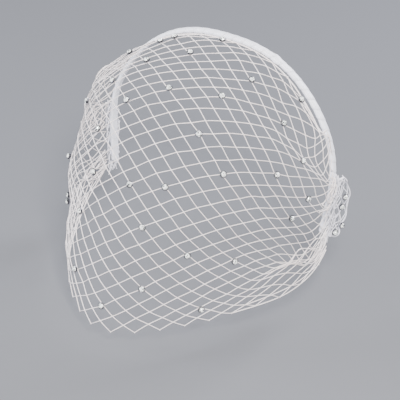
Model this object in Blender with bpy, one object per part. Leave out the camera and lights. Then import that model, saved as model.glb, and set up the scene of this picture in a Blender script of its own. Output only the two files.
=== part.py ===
"""A ribbon-wound headband with a diamond-net face veil set with crystals.

Everything is in metres, with +Z up, the face looking along -Y and the wearer's left ear at +X.
The origin is under the crown of the band, where it sits on the head.
"""
import math

import bmesh
import bpy
import numpy as np
from mathutils import Matrix, Vector

# The band: a thin horseshoe wound with ribbon
BAND_HALF_WIDTH = 0.084
BAND_HEIGHT = 0.1165
BAND_LEAN = 0.0065
BAND_ROUNDNESS = 2.44
BAND_BULGE = 0.0042
BAND_TURN_IN = 0.0036
BAND_WIDTH = 0.0062
BAND_THICKNESS = 0.0032
RIBBON_PITCH = 0.0072
RIBBON_STEP = 0.00025
RIBBON_SLANT = 0.0016
BAND_FLAT_SHARE = 0.5
BAND_SHOULDER = (0.90, 0.55)

# The net: rows run from ear to ear, columns count half cells away from the middle of the face
NET_REACH = 0.1296
HINGE_ABOVE_END = 0.012
HINGE_BELOW_END = 0.0215
HINGE_SLANT = 0.0045
NET_DROP = 0.1598
NET_WALL = 0.0012
STRAND_WIDTH = 0.0021
CELL_SIDE = 0.00917
NARROWEST_CELL = 0.25
ROWS = 42
COLUMNS = 20
STRAND_ROWS = 4
LAP_OVER_BAND = 0.0025
LIFT_OVER_BAND = 0.0005
NET_BOW = 0.0045
NET_FOLLOWS_BAND = 0.25
LEFT_FORK = -9
RIGHT_FORK = 11
DRAW_TOP = 2
DRAW_HEM = 5

# The gathers, where the net is drawn up over each end of the band
GATHER_ABOVE_END = 0.042
GATHER_BELOW_END = 0.009
GATHER_SLANT = 0.003
GATHER_FRONT = 0.0065
GATHER_BACK = 0.004
GATHER_RIM = 0.0024
GATHER_THICKNESS = 0.0042
GATHER_DRAW = 0.5
GATHER_PLEATS = 8
GATHER_FLUTE = 0.30
GATHER_TAPER = 0.45

# The ruffles, the loose end of the net that stands out behind each end of the band
RUFFLE_ABOVE_END = 0.039
RUFFLE_BELOW_END = 0.005
RUFFLE_REACH = 0.0115
RUFFLE_FLARE = 0.0040
RUFFLE_WAVE = 0.0008
RUFFLE_WAVES = 4
RUFFLE_SPREAD = 100
RUFFLE_TILT = 0.30
RUFFLE_TIP_SHARE = 0.10
RUFFLE_ROUNDNESS = 0.7
RUFFLE_RIM_SHARE = 0.4

# The crystals and their cups
STONE_WIDTH = 0.0042
STONE_HEIGHT = 0.0026
CUP_HEIGHT = 0.0013
CUP_LIP = 0.0003
STONE_SIDES = 8

# Clearance that keeps touching pieces apart
GAP = 0.0003

# Middle line of the net, from the band to the hem: (row share, share of reach, share of drop)
MIDLINE = (
    (0.000, 0.000, 0.000),
    (0.167, 0.302, 0.050),
    (0.333, 0.569, 0.125),
    (0.500, 0.752, 0.298),
    (0.667, 0.862, 0.528),
    (0.833, 0.950, 0.763),
    (1.000, 1.000, 1.000),
)

# Shape of the rows down the net: (row share, roundness of the arch, share of the bow, share cut off)
ARCHES = (
    (0.00, 2.31, 0.95, 0.28),
    (0.12, 2.28, 0.90, 0.18),
    (0.25, 2.26, 0.40, 0.07),
    (0.50, 2.08, 0.75, 0.05),
    (0.63, 2.06, 1.00, 0.05),
    (0.75, 1.72, 1.00, 0.05),
    (0.88, 1.70, 1.00, 0.05),
    (1.00, 1.53, 1.00, 0.05),
)

# Folds that run into the gathers: (row share, half width share, start column share, height share)
PLEAT_HEIGHT = 0.004
PLEATS = (
    (0.095, 0.060, 0.35, 1.00),
    (0.286, 0.060, 0.40, 0.90),
    (0.520, 0.070, 0.60, 0.50),
    (0.762, 0.070, 0.55, 0.70),
)

# Crossings of the net that carry a crystal: (column from the middle, row from the band)
STONES = (
    (-4, 3), (-5, 4), (-8, 5), (-4, 9), (-1, 6), (0, 1), (-6, 13), (0, 13), (-3, 16), (-10, 15),
    (5, 6), (4, 11), (-5, 20), (9, 8), (9, 2), (4, 17), (-11, 24), (-4, 25), (0, 25), (3, 24),
    (7, 20), (11, 16), (12, 11), (-12, 31), (-10, 31), (-5, 30), (2, 29), (6, 31), (10, 31),
    (-4, 37), (0, 39), (3, 36), (8, 39), (14, 21), (15, 16),
)

# Crystals on the ruffles: (1 for the wearer's left or -1 for the right, share down, share outwards)
RUFFLE_STONES = ((1, 0.45, 0.34), (1, 0.30, 0.42), (1, 0.84, 0.46), (1, 0.70, 0.82), (-1, 0.40, 0.60))

# Colours and finishes: (colour, roughness, metallic)
SATIN = ((0.86, 0.86, 0.92), 0.35, 0.0)
NET_THREAD = ((0.90, 0.88, 0.90), 0.6, 0.0)
CRYSTAL = ((0.80, 0.83, 0.86), 0.08, 0.3)


def remove_everything():
    for old in list(bpy.data.objects):
        bpy.data.objects.remove(old)


def material(name, finish):
    colour, roughness, metallic = finish
    made = bpy.data.materials.new(name)
    made.use_nodes = True
    shader = made.node_tree.nodes["Principled BSDF"]
    shader.inputs["Base Color"].default_value = (*colour, 1.0)
    shader.inputs["Roughness"].default_value = roughness
    shader.inputs["Metallic"].default_value = metallic
    return made


def add_object(name, mesh, finish, smooth_angle=None):
    mesh.materials.append(finish)
    if smooth_angle is not None:
        mesh.shade_smooth()
        mesh.set_sharp_from_angle(angle=smooth_angle)
    made = bpy.data.objects.new(name, mesh)
    bpy.context.scene.collection.objects.link(made)
    return made


def mesh_from(name, points, faces):
    mesh = bpy.data.meshes.new(name)
    mesh.from_pydata([tuple(map(float, point)) for point in points], [], faces)
    mesh.update()
    return mesh


def outward(mesh):
    """Turns the faces of a closed mesh to point out of it."""
    work = bmesh.new()
    work.from_mesh(mesh)
    bmesh.ops.recalc_face_normals(work, faces=work.faces)
    work.to_mesh(mesh)
    work.free()
    return mesh


def smooth_curve(shares, values, at):
    """A natural cubic curve through (shares, values), read at the given shares."""
    shares = np.asarray(shares, float)
    values = np.asarray(values, float)
    at = np.asarray(at, float)
    step = np.diff(shares)
    slope = np.diff(values) / step
    count = len(shares)
    left = np.eye(count)
    right = np.zeros(count)
    for k in range(1, count - 1):
        left[k, k - 1:k + 2] = (step[k - 1], 2 * (step[k - 1] + step[k]), step[k])
        right[k] = 6 * (slope[k] - slope[k - 1])
    bend = np.linalg.solve(left, right)
    k = np.clip(np.searchsorted(shares, at) - 1, 0, count - 2)
    a = at - shares[k]
    b = shares[k + 1] - at
    h = step[k]
    return (
        (bend[k] * b**3 + bend[k + 1] * a**3) / (6 * h)
        + (values[k] / h - bend[k] * h / 6) * b
        + (values[k + 1] / h - bend[k + 1] * h / 6) * a
    )


def unit(vectors):
    return vectors / np.maximum(np.linalg.norm(vectors, axis=-1, keepdims=True), 1e-12)


# Places that several pieces share
BAND_END_Z = BAND_THICKNESS / 2 - BAND_HEIGHT
SEAT_OFFSET = BAND_THICKNESS / 2 + RIBBON_STEP + GAP
NET_END_X = BAND_HALF_WIDTH + SEAT_OFFSET + GATHER_RIM / 2
HINGE_TOP = np.array((NET_END_X, BAND_LEAN, BAND_END_Z + HINGE_ABOVE_END))
HINGE_BOTTOM = np.array((NET_END_X, BAND_LEAN + HINGE_SLANT, BAND_END_Z - HINGE_BELOW_END))
NET_TOP_Y = -LAP_OVER_BAND
NET_TOP_Z = BAND_THICKNESS + RIBBON_STEP + LIFT_OVER_BAND + NET_WALL / 2


def band_bulge(height):
    """How far the band stands out at a height: a hump half way up, less the turn inwards of its ends."""
    share = np.clip((height - BAND_END_Z) / BAND_HEIGHT, 0, 1)
    return BAND_BULGE * np.sin(math.pi * share) ** 2 - BAND_TURN_IN * (1 - share) ** 3


def band_centre(turn):
    """The band's middle line, from the wearer's left end (turn 0) over the crown to the right (turn 1)."""
    angle = math.pi * np.asarray(turn, float)
    power = 2 / BAND_ROUNDNESS
    rise = np.maximum(np.sin(angle), 0) ** power
    across = np.sign(np.cos(angle)) * np.abs(np.cos(angle)) ** power
    height = BAND_END_Z + BAND_HEIGHT * rise
    return np.stack(
        ((BAND_HALF_WIDTH + band_bulge(height)) * across, BAND_LEAN * (1 - rise), height), axis=-1
    )


def even_along(curve, spacing):
    """Points at an even spacing along a dense curve, and the directions there."""
    steps = np.linalg.norm(np.diff(curve, axis=0), axis=1)
    length = np.concatenate(([0.0], np.cumsum(steps)))
    count = max(8, round(length[-1] / spacing))
    wanted = np.linspace(0, length[-1], count + 1)
    points = np.stack([np.interp(wanted, length, curve[:, k]) for k in range(3)], axis=1)
    return points, unit(np.gradient(points, axis=0))


def make_headband(finish):
    """Carries a flat rounded section along the horseshoe; each turn of ribbon ends in a low step."""
    dense = band_centre(np.linspace(0, 1, 2001))
    middle, along = even_along(dense, RIBBON_PITCH / 2)
    centre = np.array((0.0, BAND_LEAN / 2, BAND_END_Z))
    away = middle - centre
    across = unit(np.cross(along, away))
    radial = np.cross(across, along)
    flat = BAND_FLAT_SHARE
    wide, high = BAND_SHOULDER
    upper = [(1.0, 0.0), (wide, high), (flat, 1.0), (-flat, 1.0), (-wide, high)]
    section = upper + [(-x, -z) for x, z in upper]
    points = []
    for k, (spot, side, out, forward) in enumerate(zip(middle, across, radial, along)):
        swell = RIBBON_STEP if k % 2 else 0.0
        lean = RIBBON_SLANT if 0 < k < len(middle) - 1 else 0.0
        half_wide = BAND_WIDTH / 2 + swell - RIBBON_STEP
        half_high = BAND_THICKNESS / 2 + swell
        for x, z in section:
            points.append(spot + side * x * half_wide + out * z * half_high + forward * lean * x)
    sides = len(section)
    faces = []
    for k in range(len(middle) - 1):
        for j in range(sides):
            a = k * sides + j
            b = k * sides + (j + 1) % sides
            faces.append((a, b, b + sides, a + sides))
    faces.append(tuple(range(sides - 1, -1, -1)))
    last = (len(middle) - 1) * sides
    faces.append(tuple(range(last, last + sides)))
    mesh = outward(mesh_from("headband", points, faces))
    return add_object("headband", mesh, finish, smooth_angle=math.radians(50))


def band_side(height):
    """The left side of the band's middle line at a height; below the band's end it stays at the end."""
    dense = band_centre(np.linspace(0, 0.25, 400))
    level = np.clip(height, dense[0, 2], dense[-1, 2])
    found = np.stack([np.interp(level, dense[:, 2], dense[:, axis]) for axis in range(3)], axis=-1)
    found[..., 2] = height
    return found


def gather_line(share):
    """The seat of the left gather at a row share: down the outer face of the band, then below its end."""
    share = np.asarray(share, float)
    seat = band_side(BAND_END_Z + GATHER_ABOVE_END - (GATHER_ABOVE_END + GATHER_BELOW_END) * share)
    seat[..., 0] += SEAT_OFFSET
    seat[..., 1] += GATHER_SLANT * share
    return seat


def hinge_line(share):
    """The line that the arches of the net would turn about if nothing drew them together."""
    share = np.asarray(share, float)[..., None]
    return HINGE_TOP + (HINGE_BOTTOM - HINGE_TOP) * share


def midline(share):
    """The middle line of the net over the forehead and the face."""
    table = np.array(MIDLINE)
    forward = smooth_curve(table[:, 0], table[:, 1], share)
    down = smooth_curve(table[:, 0], table[:, 2], share)
    return np.stack((0 * forward, NET_TOP_Y - NET_REACH * forward, NET_TOP_Z - NET_DROP * down), axis=-1)


def row_heading(share):
    """The direction in which a row leaves the gather, in the upright plane of the ear."""
    heading = midline(share) - gather_line(share)
    heading[..., 0] = 0
    level = np.array((0.0, -1.0, 0.0))
    return unit(GATHER_DRAW * unit(heading) + (1 - GATHER_DRAW) * level)


class Net:
    """The net's surface: a point for each column and row, spaced as a net of even threads lies.

    A row is a rounded arch from side to side. Rows lie close together at the sides and apart over
    the face. Threads keep their length, so where rows are close the columns are far apart. Past the
    fork on each side the rows are drawn into the gather.
    """

    def __init__(self):
        samples = 160
        share = np.arange(ROWS + 1) / ROWS
        middle = midline(share)
        ends = hinge_line(share)
        arches = np.array(ARCHES)
        roundness = np.interp(share, arches[:, 0], arches[:, 1])
        bow = NET_BOW * np.interp(share, arches[:, 0], arches[:, 2])
        span = np.linalg.norm((middle - ends)[:, 1:], axis=1)
        cut = np.maximum(np.interp(share, arches[:, 0], arches[:, 3]), GATHER_FRONT / span)
        last = np.arcsin(cut ** (roundness / 2))
        angle = np.linspace(0, 1, samples + 1)[None] * (math.pi / 2 - last)[:, None]
        power = (2 / roundness)[:, None]
        sideways = np.sin(angle) ** power
        forward = np.cos(angle) ** power
        points = np.empty((ROWS + 1, samples + 1, 3))
        points[..., 0] = NET_END_X * sideways
        points[..., 1] = ends[:, None, 1] + (middle - ends)[:, None, 1] * forward
        points[..., 1] -= bow[:, None] * 4 * forward * (1 - forward)
        points[..., 2] = ends[:, None, 2] + (middle - ends)[:, None, 2] * forward
        follows = np.exp(-((share / NET_FOLLOWS_BAND) ** 2))[:, None]
        points[..., 0] += band_bulge(points[..., 2]) * sideways * follows
        along = np.gradient(points, axis=1)
        pace = np.linalg.norm(along, axis=2)
        along = along / pace[..., None]
        down = np.gradient(points, axis=0)
        down = down - (down * along).sum(-1, keepdims=True) * along
        apart = np.linalg.norm(down, axis=2)
        cell = np.sqrt(np.maximum(CELL_SIDE**2 - apart**2, (NARROWEST_CELL * CELL_SIDE) ** 2))
        rate = pace / cell
        count = np.concatenate(
            (np.zeros((ROWS + 1, 1)), np.cumsum((rate[:, 1:] + rate[:, :-1]) / 2, axis=1)), axis=1
        )
        beyond = np.maximum(count - RIGHT_FORK, 0)
        count = np.minimum(count, RIGHT_FORK) + beyond * (COLUMNS - RIGHT_FORK) / beyond[:, -1:]
        self.steps = np.linspace(0, COLUMNS, 4 * COLUMNS + 1)
        half = np.empty((ROWS + 1, len(self.steps), 3))
        for row in range(ROWS + 1):
            for axis in range(3):
                half[row, :, axis] = np.interp(self.steps, count[row], points[row, :, axis])
        front = gather_line(share) + row_heading(share) * GATHER_FRONT
        front[:, 0] += GATHER_RIM / 2
        grow = np.clip((self.steps - RIGHT_FORK) / (COLUMNS - RIGHT_FORK), 0, 1)
        drawn = grow[None] ** (DRAW_TOP + (DRAW_HEM - DRAW_TOP) * share[:, None])
        half += (front - half[:, -1])[:, None] * drawn[..., None]
        self.half = half
        self.facing = self._facing(half)
        self.half = half + self.facing * self._pleat_lift(share)[..., None]
        self.facing = self._facing(self.half)

    def _facing(self, half):
        """Unit normals that look away from the head."""
        mirrored = half[:, 1:5][:, ::-1] * (-1, 1, 1)
        padded = np.concatenate((mirrored, half), axis=1)
        along = np.gradient(padded, axis=1)
        down = np.gradient(padded, axis=0)
        return unit(np.cross(down, along))[:, 4:]

    def _pleat_lift(self, share):
        lift = np.zeros((ROWS + 1, len(self.steps)))
        for row_share, width, start, height in PLEATS:
            ridge = np.exp(-(((share - row_share) / width) ** 2))
            grow = np.clip((self.steps / COLUMNS - start) / (1 - start), 0, 1)
            fade = np.sin(math.pi * grow**1.5)
            lift += PLEAT_HEIGHT * height * ridge[:, None] * fade[None]
        return lift

    def _read(self, table, column, row):
        at = abs(column)
        found = np.array([np.interp(at, self.steps, table[row, :, axis]) for axis in range(3)])
        if column < 0:
            found[0] = -found[0]
        return found

    def point(self, column, row):
        return self._read(self.half, column, row)

    def normal(self, column, row):
        return self._read(self.facing, column, row)


def is_knot(column, row):
    """True at the crossings that the coarse net keeps: every second thread each way."""
    return row % 2 == 0 and column % 4 == (3 if row % 4 == 0 else 1)


def diamond(column, row):
    """Corners of a coarse cell about its centre, going round it as seen from outside."""
    return [(column, row - 2), (column - 2, row), (column, row + 2), (column + 2, row)]


def strand_columns(row, side):
    """Columns with a corner on a long strand, from its fork outwards to the gather."""
    fork = RIGHT_FORK if side > 0 else -LEFT_FORK
    start = fork if row % STRAND_ROWS == 0 else fork - 2
    wanted = set(range(start, COLUMNS, 2)) | {COLUMNS}
    for stone_column, stone_row in STONES:
        if stone_column * side > fork and abs(stone_row - row) < STRAND_ROWS:
            wanted.add(stone_column * side)
    return sorted(wanted)


def net_cells():
    """Every gap of the coarse net, as a loop of (column, row) corners."""
    cells = []
    stones = set(STONES)
    for row in range(2, ROWS, 2):
        for column in range(LEFT_FORK + 2, RIGHT_FORK):
            if is_knot(column - 2, row) and column - 2 >= LEFT_FORK and column + 2 <= RIGHT_FORK:
                top, left, bottom, right = diamond(column, row)
                if (column, row) in stones:
                    first = (column - 1, row - 1)
                    second = (column + 1, row + 1)
                    cells.append([top, first, (column, row), second, right])
                    cells.append([first, left, bottom, second, (column, row)])
                else:
                    cells.append([top, left, bottom, right])
    strand_rows = list(range(0, ROWS + 1, STRAND_ROWS)) + ([ROWS] if ROWS % STRAND_ROWS else [])
    for side in (1, -1):
        fork = RIGHT_FORK if side > 0 else -LEFT_FORK
        for upper, lower in zip(strand_rows, strand_rows[1:]):
            inner = [(side * (fork - 2), upper + 2)] if lower - upper == STRAND_ROWS else []
            top_strand = [(side * c, upper) for c in strand_columns(upper, side)]
            low_strand = [(side * c, lower) for c in strand_columns(lower, side)]
            ties = sorted(
                (spot for spot in stones if upper < spot[1] < lower and spot[0] * side > fork),
                key=lambda spot: abs(spot[0]),
            )
            start = inner
            for tie in ties + [None]:
                limit = abs(tie[0]) if tie else COLUMNS
                low_part = [spot for spot in low_strand if abs(spot[0]) <= limit]
                top_part = [spot for spot in top_strand if abs(spot[0]) <= limit]
                loop = start + low_part + ([tie] if tie else []) + top_part[::-1]
                cells.append(loop if side > 0 else loop[::-1])
                if tie:
                    low_strand = [spot for spot in low_strand if abs(spot[0]) >= limit]
                    top_strand = [spot for spot in top_strand if abs(spot[0]) >= limit]
                    start = [tie]
    return cells


def with_stone_corners(loop, stones):
    """Adds a corner wherever a crystal, or the end of its thread, sits halfway along a strand."""
    full = []
    for here, after in zip(loop, loop[1:] + loop[:1]):
        full.append(here)
        halfway = ((here[0] + after[0]) / 2, (here[1] + after[1]) / 2)
        if halfway in stones and abs(here[0] - after[0]) == 2 and abs(here[1] - after[1]) == 2:
            full.append((int(halfway[0]), int(halfway[1])))
    return full


def inset(spots, normals, widths):
    """Moves each side of a loop inwards by its width and returns the new corners."""
    count = len(spots)
    result = []
    for k in range(count):
        normal = normals[k]
        before = unit(spots[k] - spots[k - 1])
        after = unit(spots[(k + 1) % count] - spots[k])
        in_before = unit(np.cross(normal, before))
        in_after = unit(np.cross(normal, after))
        side = np.cross(in_before, normal)
        slant = float(side @ in_after)
        shift = in_before * widths[k - 1]
        if abs(slant) > 0.1:
            rest = widths[k] - widths[k - 1] * float(in_before @ in_after)
            shift = shift + side * rest / slant
        result.append(spots[k] + shift)
    return result


def make_net(net, finish):
    """Frames every gap of the coarse net with half a strand and gives the sheet its wall."""
    stones = set(STONES)
    mids = set(stones)
    for column, row in stones:
        if row % 2 == 0 and is_knot(column - 2, row) and LEFT_FORK < column < RIGHT_FORK:
            mids.add((column - 1, row - 1))
            mids.add((column + 1, row + 1))
    cells = [with_stone_corners(loop, mids) for loop in net_cells()]
    used = {}
    for loop in cells:
        for here, after in zip(loop, loop[1:] + loop[:1]):
            key = frozenset((here, after))
            used[key] = used.get(key, 0) + 1
    points = []
    index = {}
    faces = []
    for loop in cells:
        for corner in loop:
            if corner not in index:
                index[corner] = len(points)
                points.append(net.point(*corner))
        spots = [points[index[corner]] for corner in loop]
        normals = [net.normal(*corner) for corner in loop]
        widths = []
        for here, after in zip(loop, loop[1:] + loop[:1]):
            shared = used[frozenset((here, after))] > 1
            widths.append(STRAND_WIDTH / 2 if shared else 0.75 * STRAND_WIDTH)
        first = len(points)
        points.extend(inset(spots, normals, widths))
        for k in range(len(loop)):
            after = (k + 1) % len(loop)
            faces.append((index[loop[k]], index[loop[after]], first + after, first + k))
    mesh = mesh_from("veil_net", points, faces)
    made = add_object("veil_net", mesh, finish)
    wall = made.modifiers.new("wall", "SOLIDIFY")
    wall.thickness = NET_WALL
    wall.offset = 0
    wall.use_even_offset = False
    return made


def make_gather(side, finish):
    """A fluted pad over one end of the band, with the net drawn into its front edge."""
    rings = 4 * GATHER_PLEATS + 1
    share = np.linspace(0, 1, rings)
    middle = gather_line(share)
    heading = row_heading(share)
    back = np.array((0.0, 1.0, 0.0))
    front_reach = GATHER_FRONT - GAP
    upper_half = 0.5
    profile = (
        (1.00, 0.30), (0.62, 0.80), (0.0, 1.00), (-0.62, 0.80),
        (-1.00, 0.30), (-0.62, 0.0), (0.0, 0.0), (0.62, 0.0),
    )
    points = []
    for k in range(rings):
        flute = 1 - GATHER_FLUTE * math.cos(math.pi * GATHER_PLEATS * share[k]) ** 2
        ends = min(1.0, GATHER_TAPER + 4 * min(share[k], 1 - share[k]))
        for reach, height in profile:
            step = heading[k] * reach * front_reach if reach > 0 else -back * reach * GATHER_BACK
            crown = flute if height > upper_half else 1.0
            spot = middle[k] + step
            spot[0] += height * GATHER_THICKNESS * crown * ends
            points.append(spot * (side, 1, 1))
    sides = len(profile)
    faces = []
    for k in range(rings - 1):
        for j in range(sides):
            a = k * sides + j
            b = k * sides + (j + 1) % sides
            faces.append((a, b, b + sides, a + sides))
    faces.append(tuple(range(sides)))
    faces.append(tuple(range((rings - 1) * sides, rings * sides)))
    name = "gather_left" if side > 0 else "gather_right"
    return add_object(name, outward(mesh_from(name, points, faces)), finish, math.radians(60))


class Ruffle:
    """The fan's surface: a point for a share down the band's end and a share outwards from it."""

    def __init__(self, side):
        self.side = side

    def hinge(self, down):
        """The line where the fan starts, along the back edge of the gather."""
        length = RUFFLE_ABOVE_END + RUFFLE_BELOW_END
        above_end = RUFFLE_ABOVE_END - length * np.asarray(down, float)
        share = (GATHER_ABOVE_END - above_end) / (GATHER_ABOVE_END + GATHER_BELOW_END)
        seat = gather_line(share)
        seat[..., 0] += NET_WALL / 2
        seat[..., 1] += GATHER_BACK + GAP + RUFFLE_RIM_SHARE * NET_WALL
        return seat

    def point(self, down, out):
        down = np.asarray(down, float)
        spot = self.hinge(down)
        lean = np.radians(RUFFLE_SPREAD * (RUFFLE_TILT - down))
        round_tip = np.sin(math.pi * (RUFFLE_TIP_SHARE + (1 - 2 * RUFFLE_TIP_SHARE) * down)) ** RUFFLE_ROUNDNESS
        reach = RUFFLE_REACH * round_tip * out
        spot[..., 1] += reach * np.cos(lean)
        spot[..., 2] += reach * np.sin(lean)
        spot[..., 0] += RUFFLE_FLARE * np.sin(0.5 * math.pi * out) * round_tip
        spot[..., 0] += RUFFLE_WAVE * out * np.sin(2 * math.pi * RUFFLE_WAVES * down)
        spot[..., 0] *= self.side
        return spot

    def normal(self, down, out):
        step = 0.01
        along = self.point(down + step, out) - self.point(down - step, out)
        away = self.point(down, out + step) - self.point(down, out - step)
        facing = unit(np.cross(along, away))
        return facing if facing[0] * self.side > 0 else -facing


def make_ruffle(side, finish):
    """A waved fan that stands out behind the end of the band: the loose end of the net."""
    fan_steps = 18
    out_steps = 4
    ruffle = Ruffle(side)
    share = np.linspace(0.02, 0.98, fan_steps + 1)
    points = []
    for out in np.linspace(0, 1, out_steps + 1):
        points.extend(ruffle.point(share, out))
    row = fan_steps + 1
    faces = []
    for k in range(out_steps):
        for j in range(fan_steps):
            a = k * row + j
            loop = (a, a + 1, a + 1 + row, a + row)
            faces.append(loop if side > 0 else loop[::-1])
    name = "ruffle_left" if side > 0 else "ruffle_right"
    made = add_object(name, mesh_from(name, points, faces), finish, math.radians(60))
    wall = made.modifiers.new("wall", "SOLIDIFY")
    wall.thickness = NET_WALL
    wall.offset = 0
    return made


def stone_mesh():
    """A cut crystal in its cup: cup foot, lip, girdle and flat table, standing along +Z."""
    rings = (
        (0.30 * STONE_WIDTH, 0.0),
        (0.50 * STONE_WIDTH, 0.55 * CUP_HEIGHT),
        (0.50 * STONE_WIDTH, CUP_HEIGHT),
        (0.50 * STONE_WIDTH - CUP_LIP, CUP_HEIGHT),
        (0.27 * STONE_WIDTH, STONE_HEIGHT),
    )
    points = []
    for k, (radius, height) in enumerate(rings):
        for j in range(STONE_SIDES):
            angle = 2 * math.pi * j / STONE_SIDES
            points.append((radius * math.cos(angle), radius * math.sin(angle), height))
    faces = []
    for k in range(len(rings) - 1):
        for j in range(STONE_SIDES):
            a = k * STONE_SIDES + j
            b = k * STONE_SIDES + (j + 1) % STONE_SIDES
            faces.append((a, b, b + STONE_SIDES, a + STONE_SIDES))
    faces.append(tuple(range(STONE_SIDES - 1, -1, -1)))
    last = (len(rings) - 1) * STONE_SIDES
    faces.append(tuple(range(last, last + STONE_SIDES)))
    return outward(mesh_from("stone", points, faces))


def make_stones(net, finish):
    """One crystal on each chosen crossing or ruffle spot, its foot a clearance above the net."""
    mesh = stone_mesh()
    mesh.materials.append(finish)
    seats = [(net.point(column, row), net.normal(column, row)) for column, row in STONES]
    for side, down, out in RUFFLE_STONES:
        ruffle = Ruffle(side)
        seats.append((ruffle.point(down, out), ruffle.normal(down, out)))
    for k, (spot, facing) in enumerate(seats, start=1):
        made = bpy.data.objects.new(f"stone_{k:02d}", mesh)
        bpy.context.scene.collection.objects.link(made)
        normal = Vector(facing)
        foot = Vector(spot) + normal * (NET_WALL / 2 + GAP)
        made.matrix_world = Matrix.Translation(foot) @ normal.to_track_quat("Z", "Y").to_matrix().to_4x4()


def main():
    remove_everything()
    satin = material("white_satin_ribbon", SATIN)
    thread = material("white_net_thread", NET_THREAD)
    crystal = material("clear_crystal", CRYSTAL)
    net = Net()
    make_headband(satin)
    make_net(net, thread)
    for side in (1, -1):
        make_gather(side, thread)
        make_ruffle(side, thread)
    make_stones(net, crystal)
    bpy.context.view_layer.update()


main()
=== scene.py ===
# %% [markdown]
# A headband with a diamond-net face veil, dressed for a close look.
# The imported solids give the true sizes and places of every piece. They are plain on purpose. This
# script puts the looks around them: the wound satin ribbon, the knotted net thread by thread, the
# drawn-up net at both ears and the crystals in their little silver cups.

import math

import bpy
import numpy as np
from mathutils import Matrix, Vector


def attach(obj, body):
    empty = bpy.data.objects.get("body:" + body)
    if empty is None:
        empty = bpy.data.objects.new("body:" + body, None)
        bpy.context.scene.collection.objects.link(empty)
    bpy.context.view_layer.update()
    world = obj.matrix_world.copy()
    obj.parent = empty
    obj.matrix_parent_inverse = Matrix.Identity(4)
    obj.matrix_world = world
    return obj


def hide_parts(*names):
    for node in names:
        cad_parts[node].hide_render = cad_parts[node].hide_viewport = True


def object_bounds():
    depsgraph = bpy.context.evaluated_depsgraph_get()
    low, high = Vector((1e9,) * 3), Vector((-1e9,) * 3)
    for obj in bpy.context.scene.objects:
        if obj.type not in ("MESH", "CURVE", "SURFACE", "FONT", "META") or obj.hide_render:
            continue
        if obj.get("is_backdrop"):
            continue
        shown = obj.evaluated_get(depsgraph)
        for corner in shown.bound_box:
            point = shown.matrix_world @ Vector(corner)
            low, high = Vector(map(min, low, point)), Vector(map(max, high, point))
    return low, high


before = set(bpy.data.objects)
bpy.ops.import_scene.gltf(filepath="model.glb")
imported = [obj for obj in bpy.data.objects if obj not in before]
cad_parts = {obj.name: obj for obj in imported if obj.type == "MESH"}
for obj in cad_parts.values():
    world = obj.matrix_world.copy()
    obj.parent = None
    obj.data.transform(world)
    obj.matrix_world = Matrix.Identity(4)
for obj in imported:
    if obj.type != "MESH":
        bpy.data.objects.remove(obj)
cad_low, cad_high = (np.array(corner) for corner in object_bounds())
print("solids:", len(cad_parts), "box in mm:", np.round((cad_high - cad_low) * 1000, 1))

# %% [markdown]
# Short tools come first. An object is made from its data and stood in the scene with its own axes
# along three directions. A finish is a small tree of shader nodes, in which every input is either
# a plain value or a link to another node's output.

# %% Objects and finishes


def add_object(name, data):
    """Makes an object of the data and links it to the scene."""
    made = bpy.data.objects.new(name, data)
    bpy.context.scene.collection.objects.link(made)
    return made


def stand(made, place, right, top, back):
    """Moves an object to a place, with its x, y and z axes along the three directions."""
    turned = Matrix((right, top, back)).transposed().to_4x4()
    made.matrix_world = Matrix.Translation(place) @ turned


class Finish:
    """A material whose shader nodes are added and linked in short calls."""

    def __init__(self, name):
        self.material = bpy.data.materials.new(name)
        self.material.use_nodes = True
        self.tree = self.material.node_tree

    def fill(self, node, values):
        """Sets each input to a plain value or links it to another node's output."""
        for socket, value in values.items():
            if isinstance(value, bpy.types.NodeSocket):
                self.tree.links.new(value, node.inputs[socket])
            else:
                node.inputs[socket].default_value = value
        return node

    def add(self, kind, values=None, **settings):
        node = self.tree.nodes.new(kind)
        for key, value in settings.items():
            setattr(node, key, value)
        return self.fill(node, values or {})

    def math(self, operation, a, b=0.0):
        return self.add("ShaderNodeMath", {0: a, 1: b}, operation=operation).outputs[0]

    def scaled(self, value, times, plus):
        """A value times one number, plus another."""
        return self.math("ADD", self.math("MULTIPLY", value, times), plus)

    def mix(self, share, first, second):
        """From the first colour to the second by a share."""
        values = {0: share, 6: (*first, 1.0), 7: (*second, 1.0)}
        return self.add("ShaderNodeMix", values, data_type="RGBA").outputs[2]

    def with_painted_shade(self, colour, shade):
        """A colour times a painted shade."""
        values = {0: colour, 1: shade}
        return self.add("ShaderNodeVectorMath", values, operation="MULTIPLY").outputs[0]

    def noise(self, scale, detail=2.0):
        """A cloudy noise on the object's own coordinates."""
        place = self.add("ShaderNodeTexCoord").outputs["Object"]
        values = {"Vector": place, "Scale": scale, "Detail": detail}
        return self.add("ShaderNodeTexNoise", values).outputs["Fac"]

    def uv(self):
        """The mesh's own u and v."""
        where = self.add("ShaderNodeUVMap", uv_map="UVMap").outputs[0]
        return self.add("ShaderNodeSeparateXYZ", {0: where}).outputs[:2]

    def bump(self, height, strength, distance):
        values = {"Height": height, "Strength": strength, "Distance": distance}
        return self.add("ShaderNodeBump", values).outputs[0]

    def surface(self, values):
        """Sets the inputs of the surface shader and gives the material."""
        self.fill(self.tree.nodes["Principled BSDF"], values)
        return self.material


# %% [markdown]
# The camera is set before any piece, because every later choice is judged through it. A long lens
# far away keeps the near side from looking larger than the far one, as in a studio picture. The
# view is turned about the object by an azimuth and an elevation, then rolled a little.

# %% Camera
VIEW_CENTRE = np.array((0.0, -0.026, -0.076))
VIEW_AZIMUTH = math.radians(27.17)
VIEW_ELEVATION = math.radians(26.34)
VIEW_ROLL = math.radians(6.35)
VIEW_DISTANCE = 1.10
VIEW_SLIDE = (0.00203, -0.02683)
LENS_MM = 152.5
SENSOR_MM = 36.0
NEAREST_SEEN = 0.05


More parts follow.
